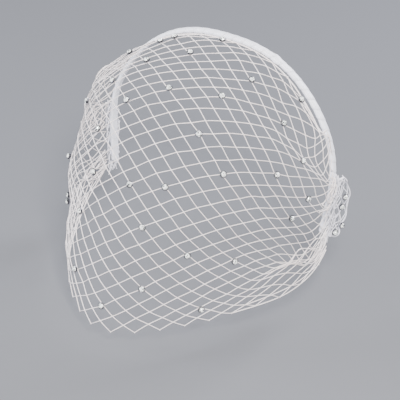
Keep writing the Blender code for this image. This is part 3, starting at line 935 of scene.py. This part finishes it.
def thread_finish(name, pale, warm):
    """Stripes of a sine over u plus v for the plies, with painted shade in the grooves, uneven with
    a noise.
    """
    made = Finish(name)
    u, v = made.uv()
    turn = made.math("ADD", u, made.math("MULTIPLY", v, THREAD_PLIES))
    wave = made.math("SINE", made.math("MULTIPLY", turn, 2 * math.pi))
    ply_bump_and_painted_shade = made.scaled(wave, times=0.5, plus=0.5)
    colour = made.mix(made.noise(TINT_PATCHES), pale, warm)
    height = made.math("ADD", ply_bump_and_painted_shade, made.math("MULTIPLY", made.noise(FIBRES), 0.5))
    # The base colour carries a painted shade: darker in the grooves between the plies.
    return made.surface({
        "Base Color": made.with_painted_shade(colour, made.scaled(ply_bump_and_painted_shade, times=0.22, plus=0.80)),
        "Roughness": 0.72,
        "Sheen Weight": 0.35,
        "Sheen Roughness": 0.45,
        "Normal": made.bump(height, strength=0.7, distance=0.00012),
    })


net_thread = thread_finish("net_thread", (0.95, 0.91, 0.91), (0.92, 0.80, 0.77))
drawn_thread = thread_finish("drawn_thread", (0.93, 0.92, 0.97), (0.86, 0.84, 0.93))
print("finishes:", net_thread.name, "and", drawn_thread.name)

# %% [markdown]
# Now the veil itself. The two thread families cross at the knots. A real knot is a small hard
# loop, a little thicker than the thread, so a flat ball sits on every crossing. A single cord
# closes the net's upper edge, under the band at the crown and just in front of it at the sides.
# By each ear two threads run along the hem, and a small patch of the net is folded over itself.

# %% Veil of threads
# Threads and knots of a net: (thread radius, knot radius, knot height)
VEIL_THREADS = (0.00026, 0.00052, 0.00038)
FOLD_THREADS = (0.00036, 0.00052, 0.00038)
CROSSING_LIFT = 0.35
EDGE_CORD_RADIUS = 0.00048
# Threads that run along the hem by the ear: (row, radius, column of the knot where it starts)
HEM_THREADS = ((42.0, 0.00034, 11), (41.0, 0.00030, 12))
# The folded patch: its columns and rows, its cells down and across, and how it leans and lifts
FOLD_COLUMNS = (17.2, 20.0)
FOLD_ROWS = (12.0, 18.0)
FOLD_CELLS = (6, 5)
FOLD_SHEAR = -1.0
FOLD_LIFT = 0.0014
FOLD_WANDER = 0.0004
FOLD_SEED = 7
# How uneven the patch is: (size, turn per cell down, turn per cell across)
FOLD_EDGE_WAVE = (0.35, 1.7, 0.0)
FOLD_LIFT_WAVE = (0.6, 1.3, 0.9)


def net_groups(points, normals, sizes, parity):
    """Both thread families over a grid of knots, lifted past each other there, and the knots."""
    thread_radius, knot_radius, knot_height = sizes
    groups = []
    for lean in (1, -1):
        shifted = points + normals * thread_radius * CROSSING_LIFT * lean
        groups.append(thread_family(shifted, normals, lean, thread_radius, parity))
    r, c = np.indices(points.shape[:2])
    chosen = (r + c) % 2 == parity
    groups.append(small_balls(points[chosen], normals[chosen], knot_radius, knot_height))
    return groups


def edge_cord(radius, at_row=0.0, first=-COLUMNS, last=COLUMNS):
    """A thread along one row of the net, read every quarter column."""
    column = np.arange(first, last + 0.1, 0.25)
    points, normals = seated(column, np.full_like(column, at_row))
    return thread_along(points, normals, radius)


def fold_back(side, rng):
    """A second ply over part of the net: its own grid on the same surface, sheared and lifted.

    Sines over the cells make its edge and its height uneven.
    """
    i, j = np.indices((FOLD_CELLS[0] + 1, FOLD_CELLS[1] + 1))
    edge_wave, lift_wave = (
        size * np.sin(down * i + out * j) for size, down, out in (FOLD_EDGE_WAVE, FOLD_LIFT_WAVE)
    )
    across = j / FOLD_CELLS[1]
    column = FOLD_COLUMNS[0] + (FOLD_COLUMNS[1] - FOLD_COLUMNS[0]) * across
    column = side * np.minimum(column + edge_wave, COLUMNS)
    row = FOLD_ROWS[0] + (FOLD_ROWS[1] - FOLD_ROWS[0]) * i / FOLD_CELLS[0] + FOLD_SHEAR * across
    points, normals = seated(column, row)
    rise = FOLD_LIFT * (1 + lift_wave)
    points = points + normals * rise[..., None] + rng.normal(0, FOLD_WANDER, points.shape)
    return net_groups(points, normals, FOLD_THREADS, 0)


veil_groups = net_groups(*veil_knots, VEIL_THREADS, (COLUMNS + 1) % 2)
veil_groups.append(edge_cord(EDGE_CORD_RADIUS))
for at_row, radius, start in HEM_THREADS:
    veil_groups.append(edge_cord(radius, at_row, start, COLUMNS))
    veil_groups.append(edge_cord(radius, at_row, -COLUMNS, -start))
fold_rng = np.random.default_rng(FOLD_SEED)
for side in (1, -1):
    veil_groups += fold_back(side, fold_rng)
veil_net = mesh_piece("veil_net_threads", veil_groups, net_thread)
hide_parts("veil_net")

# %% [markdown]
# At each ear the same net is bunched up, stitched over the end of the band and left to puff out
# behind it. The part on the band and the loose end behind it are separate grids of knots, two
# layers each; the second layer of the loose end stops about half way out. The layers differ in
# the phase of their small pleats, so that their threads seldom fall on one another.

# %% Gathered net at the ears
LAYERS = 2
EAR_SEED = 11
# (thread radius, knot radius, knot height)
GATHER_THREADS = (0.00030, 0.00046, 0.00036)
RUFFLE_THREADS = (0.00025, 0.00036, 0.00030)

# The part on the band: its cells, and how its layers rise, flute and swing
WRAP_ROWS = 10
WRAP_COLUMNS = 4
WRAP_LEVELS = (0.21875, 0.53125)
WRAP_PHASE = 2.1
WRAP_TIP_SHARE = 0.45
WRAP_TIP_RISE = 4
WRAP_WANDER = 0.00018
FLUTE_DEPTH = 0.22
PLEAT_SWING = 0.0011
PLEAT_TAPER = 0.4

# Layers of the loose end: (cells down, cells outwards, share of the reach)
FAN_LAYERS = ((11, 4, 1.0), (7, 2, 0.45))
FAN_PHASE = 1.9
FAN_PLEATS = 5.0
FAN_SWING = 0.0008
FAN_SWING_AT_BAND = 0.25
SWING_UP_SHARE = 0.6
RIM_CALM = 0.8
RIM_CALM_FROM = 0.7
FAN_LAYER_STEP = 0.0016
FAN_WANDER = 0.00035
TOP_CLOSING = (-0.25, 0.26)
END_CLOSING = (0.86, 1.0)
TIP_REACH = 0.15
RIM_POINTS = 130
LEG_POINTS = 7
# Threads along the rim: (share of the reach, radius, step outwards, wander, phases out and up)
RIM_THREADS = (
    (1.00, 0.00040, 0.0, 0.0002, 0.0, 0.0),
    (0.90, 0.00032, 0.0006, 0.0004, 0.54, 0.30),
)


def fan_point(down, out):
    """The loose end: a hinge line, a reach that turns from up to down along it, a flare, a wave."""
    length = RUFFLE_ABOVE_END + RUFFLE_BELOW_END
    above_end = RUFFLE_ABOVE_END - length * down
    spot = gather_line((GATHER_ABOVE_END - above_end) / (GATHER_ABOVE_END + GATHER_BELOW_END))
    spot[..., 0] += NET_WALL / 2
    spot[..., 1] += GATHER_BACK + GAP + RUFFLE_RIM_SHARE * NET_WALL
    lean = np.radians(RUFFLE_SPREAD * (RUFFLE_TILT - down))
    inner = np.clip(RUFFLE_TIP_SHARE + (1 - 2 * RUFFLE_TIP_SHARE) * down, 0, 1)
    round_tip = np.sin(math.pi * inner) ** RUFFLE_ROUNDNESS
    reach = RUFFLE_REACH * round_tip * out
    spot[..., 1] += reach * np.cos(lean)
    spot[..., 2] += reach * np.sin(lean)
    spot[..., 0] += RUFFLE_FLARE * np.sin(0.5 * math.pi * out) * round_tip
    spot[..., 0] += RUFFLE_WAVE * out * np.sin(2 * math.pi * RUFFLE_WAVES * down)
    return spot


def rim_closing(down):
    """A share of the reach that shrinks towards both tips, so that the rim comes in to the band."""
    inner = ease(down, *TOP_CLOSING) * (1 - ease(down, *END_CLOSING))
    return TIP_REACH + (1 - TIP_REACH) * inner


def gather_layer(layer, rng):
    """Knots over the band's end: a low arch from the front edge over the seat to the back edge."""
    share, across = np.meshgrid(
        np.linspace(0, 1, WRAP_ROWS + 1), np.linspace(-1, 1, WRAP_COLUMNS + 1), indexing="ij"
    )
    wave = 2 * math.pi * GATHER_PLEATS * share + WRAP_PHASE * layer
    spot = gather_line(share)
    spot = spot + np.maximum(-across, 0)[..., None] * row_heading(share) * GATHER_FRONT
    spot[..., 1] += np.maximum(across, 0) * GATHER_BACK
    ends = np.minimum(1.0, WRAP_TIP_SHARE + WRAP_TIP_RISE * np.minimum(share, 1 - share))
    room = GATHER_RIM * 0.5 + (GATHER_THICKNESS - GATHER_RIM * 0.5) * (1 - across**2)
    spot[..., 0] += room * WRAP_LEVELS[layer] * ends * (1 + FLUTE_DEPTH * np.cos(wave))
    spot[..., 2] += PLEAT_SWING * np.sin(wave) * (1 - PLEAT_TAPER * across)
    return spot + rng.normal(0, WRAP_WANDER, spot.shape)


def fan_layer(layer, rng):
    """Knots of the loose end: its surface, with pleats that grow outwards and calm by the rim."""
    rows, columns, share = FAN_LAYERS[layer]
    down, out = np.meshgrid(
        np.linspace(0, 1, rows + 1), np.linspace(0, 1, columns + 1), indexing="ij"
    )
    spot = fan_point(down, out * share * rim_closing(down))
    wave = 2 * math.pi * FAN_PLEATS * down + FAN_PHASE * layer
    grow = FAN_SWING_AT_BAND + (1 - FAN_SWING_AT_BAND) * out
    swing = FAN_SWING * grow * (1 - RIM_CALM * ease(out, RIM_CALM_FROM, 1.0))
    spot[..., 0] += swing * np.sin(wave) + FAN_LAYER_STEP * (layer - 0.5)
    spot[..., 2] += SWING_UP_SHARE * swing * np.cos(wave)
    return spot + rng.normal(0, FAN_WANDER, spot.shape)


def grid_normals(points):
    """Across the two grid directions, turned to look outwards."""
    facing = unit(np.cross(np.gradient(points, axis=0), np.gradient(points, axis=1)))
    return facing * np.sign(facing[..., :1] + 1e-9)


def one_side(points, side):
    """The left side as it is, or mirrored for the right side."""
    return points * (side, 1, 1)


def layered_net(make_layer, sizes, side, rng):
    """The net layers of one gather or loose end, every second one with its knots shifted."""
    groups = []
    for layer in range(LAYERS):
        points = make_layer(layer, rng)
        normals = one_side(grid_normals(points), side)
        groups += net_groups(one_side(points, side), normals, sizes, layer % 2)
    return groups


def rim_groups(side):
    """Smooth threads that close the rim, each with a leg to the band at both of its ends."""
    rim = np.linspace(0.0, 1.0, RIM_POINTS)
    leg = np.arange(LEG_POINTS) / LEG_POINTS
    down = np.concatenate((0 * leg, rim, 1 + 0 * leg))
    out = rim_closing(down) * np.concatenate((leg, 1 + 0 * rim, leg[::-1]))
    wave = 2 * math.pi * FAN_PLEATS * down
    groups = []
    for reach, thick, away, wander, phase_out, phase_up in RIM_THREADS:
        points = fan_point(down, reach * out)
        points[:, 0] += wander * np.sin(wave + phase_out) + away
        points[:, 2] += SWING_UP_SHARE * wander * np.cos(wave + phase_up)
        normals = np.broadcast_to((side, 0.0, 0.0), points.shape)
        groups.append(thread_along(one_side(points, side), normals, thick))
    return groups


for side, word in ((1, "left"), (-1, "right")):
    rng = np.random.default_rng(EAR_SEED + side)
    wrap = layered_net(gather_layer, GATHER_THREADS, side, rng)
    gather = mesh_piece(f"gather_{word}_threads", wrap, drawn_thread)
    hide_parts(f"gather_{word}")
    loose = layered_net(fan_layer, RUFFLE_THREADS, side, rng) + rim_groups(side)
    ruffle = mesh_piece(f"ruffle_{word}_threads", loose, drawn_thread)
    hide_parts(f"ruffle_{word}")

# %% [markdown]
# The band is spring steel wound with narrow satin ribbon, and only the ribbon shows. Each turn of
# ribbon lies over the edge of the turn before it, so the outline has small steps that climb along
# the band in a spiral. Satin shines across its threads, so the weave is a fine bump along the
# ribbon's length.

# %% Ribbon-wound band
BAND_SAMPLES = 6001
BAND_RINGS = 1000
BAND_SIDES = 26
BAND_SQUARENESS = 2.8
# The rounded ends: their length, the rings on each, the first ring's share and their crowding
END_ROUNDING = 0.0022
END_RINGS = 9
END_FIRST_RING = 0.03
END_CROWDING = 1.6
# One turn of ribbon: a quick rise at its edge, a slow fall over the rest, and fine creases
RIBBON_LIFT = 0.00030
LAP_SHARE = 0.12
LAP_FALL = 0.75
CREASE_HEIGHT = 0.00005
CREASES_PER_TURN = 5.0
# A small knot in the ribbon, a little to the wearer's left of the crown
KNOT_AT_X = 0.035
KNOT_SWELL = 0.0007
KNOT_REACH = 0.0028
KNOT_LOBES = 3
KNOT_UNEVEN = 0.4


def ribbon_band():
    """A squared oval carried along the horseshoe; its radius steps up once per turn of ribbon.

    The oval is a superellipse. At each end it closes like a quarter circle.
    """
    dense = band_centre(np.linspace(0, 1, BAND_SAMPLES))
    gone = path_lengths(dense)
    length = gone[-1]
    run = np.linspace(0, length, BAND_RINGS)
    tips = END_ROUNDING * np.linspace(END_FIRST_RING, 1, END_RINGS) ** END_CROWDING
    inner = (run > END_ROUNDING) & (run < length - END_ROUNDING)
    run = np.concatenate((tips, run[inner], length - tips[::-1]))
    middle = np.stack([np.interp(run, gone, dense[:, axis]) for axis in range(3)], axis=1)
    along = unit(np.gradient(middle, axis=0))
    away = middle - np.array((0.0, BAND_LEAN / 2, BAND_END_Z))
    across = unit(np.cross(along, away))
    radial = np.cross(across, along)
    angle = round_angles(BAND_SIDES)
    wide, high = (signed_power(f(angle), 2 / BAND_SQUARENESS) for f in (np.cos, np.sin))
    turn = run[:, None] / RIBBON_PITCH - angle[None] / (2 * math.pi)
    phase = turn - np.floor(turn)
    step = RIBBON_LIFT * (np.clip(phase / LAP_SHARE, 0, 1) - LAP_FALL * phase)
    crease = CREASE_HEIGHT * np.sin(2 * math.pi * CREASES_PER_TURN * phase) * (1 - phase)
    start = np.interp(-KNOT_AT_X, -middle[:, 0], run)
    lobes = np.cos(KNOT_LOBES * angle[None] + run[:, None] / KNOT_REACH)
    knot = KNOT_SWELL * np.exp(-(((run - start) / KNOT_REACH) ** 2))[:, None]
    swell = step + crease + knot * (1 - KNOT_UNEVEN + KNOT_UNEVEN * lobes)
    from_end = np.clip(np.minimum(run, length - run) / END_ROUNDING, 0, 1)
    close = np.sqrt(1 - (1 - from_end) ** 2)[:, None]
    half_wide = (BAND_WIDTH / 2 - 2 * RIBBON_STEP + swell) * close
    half_high = (BAND_THICKNESS / 2 - RIBBON_STEP / 2 + swell) * close
    corners = (
        middle[:, None]
        + across[:, None] * (wide * half_wide)[..., None]
        + radial[:, None] * (high * half_high)[..., None]
    )
    corners, quads, caps, uvs = one_tube(corners.reshape(-1, 3), run / RIBBON_PITCH, BAND_SIDES)
    outwards = (0, 3, 2, 1)
    return corners, quads[:, outwards], caps[:, (0, 2, 1)], uvs[:, outwards]


# Share of a turn along each lap that carries the painted shade
PAINTED_LAP_SHADE_SHARE = 0.10
WEAVES_PER_TURN = 22.0
SATIN_PATCHES = 60.0
SATIN_CREASES = 420.0


def satin_finish():
    """Cool white satin: a fine weave bump, and a faint painted shade along the laps where one turn
    meets the next.
    """
    made = Finish("satin_ribbon")
    u, v = made.uv()
    turn = made.math("SUBTRACT", u, v)
    painted_lap_ramp = made.math("SMOOTH_MIN", made.math("FRACT", turn), PAINTED_LAP_SHADE_SHARE)
    painted_lap_shade = made.math("MULTIPLY", painted_lap_ramp, 1 / PAINTED_LAP_SHADE_SHARE)
    colour = made.mix(made.noise(SATIN_PATCHES, 3.0), (0.84, 0.86, 0.97), (0.95, 0.95, 1.0))
    weave = made.math("SINE", made.math("MULTIPLY", turn, 2 * math.pi * WEAVES_PER_TURN))
    creases = made.math("MULTIPLY", made.noise(SATIN_CREASES, 3.0), 1.2)
    height = made.math("ADD", made.math("MULTIPLY", weave, 0.25), creases)
    # The base colour carries a painted shade along each lap, where one turn meets the next.
    return made.surface({
        "Base Color": made.with_painted_shade(colour, made.scaled(painted_lap_shade, times=0.16, plus=0.84)),
        "Roughness": 0.34,
        "Sheen Weight": 0.25,
        "Specular IOR Level": 0.6,
        "Normal": made.bump(height, strength=0.45, distance=0.00015),
    })


band = mesh_piece("ribbon_band", [ribbon_band()], satin_finish())
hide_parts("headband")

# %% [markdown]
# A crystal of this kind is a small glass brilliant with foil behind it, pressed into a cup of
# thin silvered brass whose four claws fold over the edge. The glass is opaque here, and the light
# that the foil sends back is painted: each facet gets a painted reflection of its own brightness.
# An attribute on the faces holds a random share that picks that painted reflection.

# %% Crystals and cups
STONE_SEED = 23
PROBE = 0.01
GLASS_SHARE = 0.44
GIRDLE_HALF = 0.0001
CRYSTAL_SIDES = 8
TARNISH_AND_SHADE_PATCHES = 700.0
CUP_SHARE = 0.53
CUP_SIDES = 20
CUP_WALL = 0.00022
CUP_LIP = 0.00012
CLAWS = 4
CLAW_HALF_WIDTH = 0.00028
CLAW_TAPER = 0.3
# Shares of the cup's radius, then shares of its height
CLAW_OUT = 1.03
CLAW_DEPTH = 0.34
CLAW_LEAN = 0.10
CLAW_FOOT = 0.6
CLAW_RISE = 0.75
# Painted reflections of the facets: (share of the draw from which it holds, colour)
PAINTED_FACET_REFLECTIONS = (
    (0.00, (0.03, 0.035, 0.04)),
    (0.22, (0.55, 0.60, 0.58)),
    (0.42, (0.97, 1.0, 0.97)),
)


def seat_frames():
    """Foot, facing and two directions across it for each stone: on the knots, then on the fans."""
    spots = np.array(STONES, float)
    points, normals = seated(spots[:, 0], spots[:, 1])
    fan_spots, fan_normals = [], []
    for side, down, out in RUFFLE_STONES:
        around = PROBE * np.array(((0, 0), (1, 0), (-1, 0), (0, 1), (0, -1)))
        near = fan_point(down + around[:, 0], out + around[:, 1])
        facing = unit(np.cross(near[1] - near[2], near[3] - near[4]))
        fan_spots.append(one_side(near[0], side))
        fan_normals.append(one_side(facing * np.sign(facing[0]), side))
    points = np.concatenate((points, fan_spots))
    normals = np.concatenate((normals, fan_normals))
    return points + normals * (NET_WALL / 2 + GAP), normals, *across_pair(normals)


def placed(template, frames, turns):
    """Copies of a template with its own turn about the facing, at every seat."""
    feet, normals, across, other = (table[:, None] for table in frames)
    cos, sin = np.cos(turns)[:, None, None], np.sin(turns)[:, None, None]
    x, y, z = (template[None, :, axis:axis + 1] for axis in range(3))
    return feet + x * (across * cos + other * sin) + y * (other * cos - across * sin) + z * normals


def level_ring(radius, height, angle):
    """A level ring of corners about the upright axis."""
    return np.stack((radius * np.cos(angle), radius * np.sin(angle), 0 * angle + height), 1)


def ring_band(first, sides):
    """Two triangles per side between a ring of corners and the ring after it."""
    k, n = corner_pairs(sides)
    a, b = first, first + sides
    return [np.stack((a + k, a + n, b + n), 1), np.stack((a + k, b + n, b + k), 1)]


def brilliant():
    """Table, eight crown facets with stars between them, a girdle and a short cone below it."""
    foot, girdle, top = 0.45 * CUP_HEIGHT, CUP_HEIGHT, STONE_HEIGHT
    even = round_angles(CRYSTAL_SIDES)
    between = even + math.pi / CRYSTAL_SIDES
    # (share of the radius, height, angles of the corners)
    rings = (
        (0.30, foot, even),
        (1.00, girdle - GIRDLE_HALF, even),
        (1.00, girdle + GIRDLE_HALF, even),
        (0.80, girdle + 0.55 * (top - girdle), between),
        (0.56, top, even),
    )
    radius = STONE_WIDTH * GLASS_SHARE
    points = [level_ring(share * radius, height, angle) for share, height, angle in rings]
    points.append(np.array(((0.0, 0.0, foot), (0.0, 0.0, top))))
    k, n = corner_pairs(CRYSTAL_SIDES)
    upper, star, table, poles = (CRYSTAL_SIDES * place for place in (2, 3, 4, 5))
    crown = (
        (upper + k, upper + n, star + k), (upper + n, star + n, star + k),
        (star + k, table + n, table + k), (star + k, star + n, table + n),
    )
    faces = [about(poles, n, k)]
    faces += ring_band(0, CRYSTAL_SIDES) + ring_band(CRYSTAL_SIDES, CRYSTAL_SIDES)
    faces += [np.stack(corners, 1) for corners in crown]
    faces.append(about(poles + 1, table + k, table + n))
    return np.concatenate(points), np.concatenate(faces)


def cup():
    """A round cup as one turned wall, its floor closed, with four small claws over the rim.

    A claw is a box that leans inwards and narrows a little as it rises.
    """
    outer = STONE_WIDTH * CUP_SHARE
    floor_inside = 0.4 * CUP_HEIGHT
    # (radius, height) from the foot, up outside, over the lip and down inside
    profile = (
        (0.62 * outer, 0.0), (0.90 * outer, 0.35 * CUP_HEIGHT), (outer, CUP_HEIGHT),
        (outer - CUP_WALL, CUP_HEIGHT + CUP_LIP), (outer - 2 * CUP_WALL, CUP_HEIGHT),
    )
    angle = round_angles(CUP_SIDES)
    points = [level_ring(radius, height, angle) for radius, height in profile]
    points.append(np.array(((0.0, 0.0, 0.0), (0.0, 0.0, floor_inside))))
    k, n = corner_pairs(CUP_SIDES)
    last = (len(profile) - 1) * CUP_SIDES
    pole = last + CUP_SIDES
    faces = []
    for level in range(len(profile) - 1):
        faces += ring_band(level * CUP_SIDES, CUP_SIDES)
    faces += [about(pole, n, k), about(pole + 1, last + k, last + n)]
    box = np.array([(x, y, z) for z in (0, 1) for y in (-1, 1) for x in (0, 1)], float)
    box_faces = np.array((
        (3, 2, 0), (1, 3, 0), (7, 5, 4), (6, 7, 4), (5, 1, 0), (4, 5, 0),
        (7, 6, 2), (3, 7, 2), (6, 4, 0), (2, 6, 0), (7, 3, 1), (5, 7, 1),
    ))
    x = outer * CLAW_OUT - box[:, 0] * CLAW_DEPTH * outer - box[:, 2] * CLAW_LEAN * outer
    y = box[:, 1] * CLAW_HALF_WIDTH * (1 - CLAW_TAPER * box[:, 2])
    z = CLAW_FOOT * CUP_HEIGHT + box[:, 2] * CLAW_RISE * CUP_HEIGHT
    for place in range(CLAWS):
        a = 2 * math.pi * (place + 0.5) / CLAWS
        faces.append(box_faces + pole + 2 + len(box) * place)
        points.append(np.stack((
            x * math.cos(a) - y * math.sin(a), x * math.sin(a) + y * math.cos(a), z
        ), 1))
    return np.concatenate(points), np.concatenate(faces)


def stone_piece(name, template, finish):
    """All copies as one mesh, each face with its own random share for a painted facet reflection.
    """
    points, faces = template
    places = placed(points, frames, turns)
    triangles = repeated(faces, len(places), len(points))
    group = (places.reshape(-1, 3), None, triangles, None)
    made = mesh_piece(name, [group], finish, smooth=False)
    layer = made.data.attributes.new("facet", "FLOAT", "FACE")
    layer.data.foreach_set("value", stone_rng.random(len(triangles)).astype(np.float32))
    return made


def crystal_finish():
    """Each facet gets a painted reflection, bright or dark by its own share, and is smooth as
    glass.
    """
    made = Finish("crystal")
    share = made.add("ShaderNodeAttribute", attribute_name="facet", attribute_type="GEOMETRY")
    # Painted reflections: each facet's base colour is dark, grey or white by its random share.
    ramp = made.add("ShaderNodeValToRGB", {0: share.outputs["Fac"]})
    ramp.color_ramp.interpolation = "CONSTANT"
    stops = ramp.color_ramp.elements
    for k, (start, shade) in enumerate(PAINTED_FACET_REFLECTIONS):
        stop = stops[k] if k < 2 else stops.new(start)
        stop.position = start
        stop.color = (*shade, 1.0)
    return made.surface({
        "Base Color": ramp.outputs[0],
        "Roughness": 0.10,
        "Coat Weight": 0.8,
        "Coat Roughness": 0.03,
    })


def silver_finish():
    """Polished silver painted nearly black, as painted shade round each crystal; its tone and
    evenness follow a noise.
    """
    made = Finish("silver_cup")
    wear_and_shade_patches = made.noise(TARNISH_AND_SHADE_PATCHES, 3.0)
    # Painted shade: both tones of the silver are nearly black, for the dark rims round the
    # crystals.
    return made.surface({
        "Base Color": made.mix(wear_and_shade_patches, (0.04, 0.04, 0.05), (0.20, 0.20, 0.22)),
        "Metallic": 1.0,
        "Roughness": 0.28,
        "Normal": made.bump(wear_and_shade_patches, strength=0.2, distance=0.0001),
    })


stone_rng = np.random.default_rng(STONE_SEED)
frames = seat_frames()
turns = stone_rng.random(len(frames[0])) * 2 * math.pi
stone_names = [f"stone_{k:02d}" for k in range(1, len(turns) + 1)]
crystals = stone_piece("crystals", brilliant(), crystal_finish())
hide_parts(*stone_names)
cups = stone_piece("silver_cups", cup(), silver_finish())
print("stones:", len(turns))

# %% [markdown]
# Last, the box of the finished object is measured and printed as how far it grows past the box of
# the plain solids.

# %% Sizes and end
low, high = (np.array(corner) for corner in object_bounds())
grown = np.round(np.array((cad_low - low, high - cad_high)) * 1000, 2)
print("grown by, in mm:", *grown)
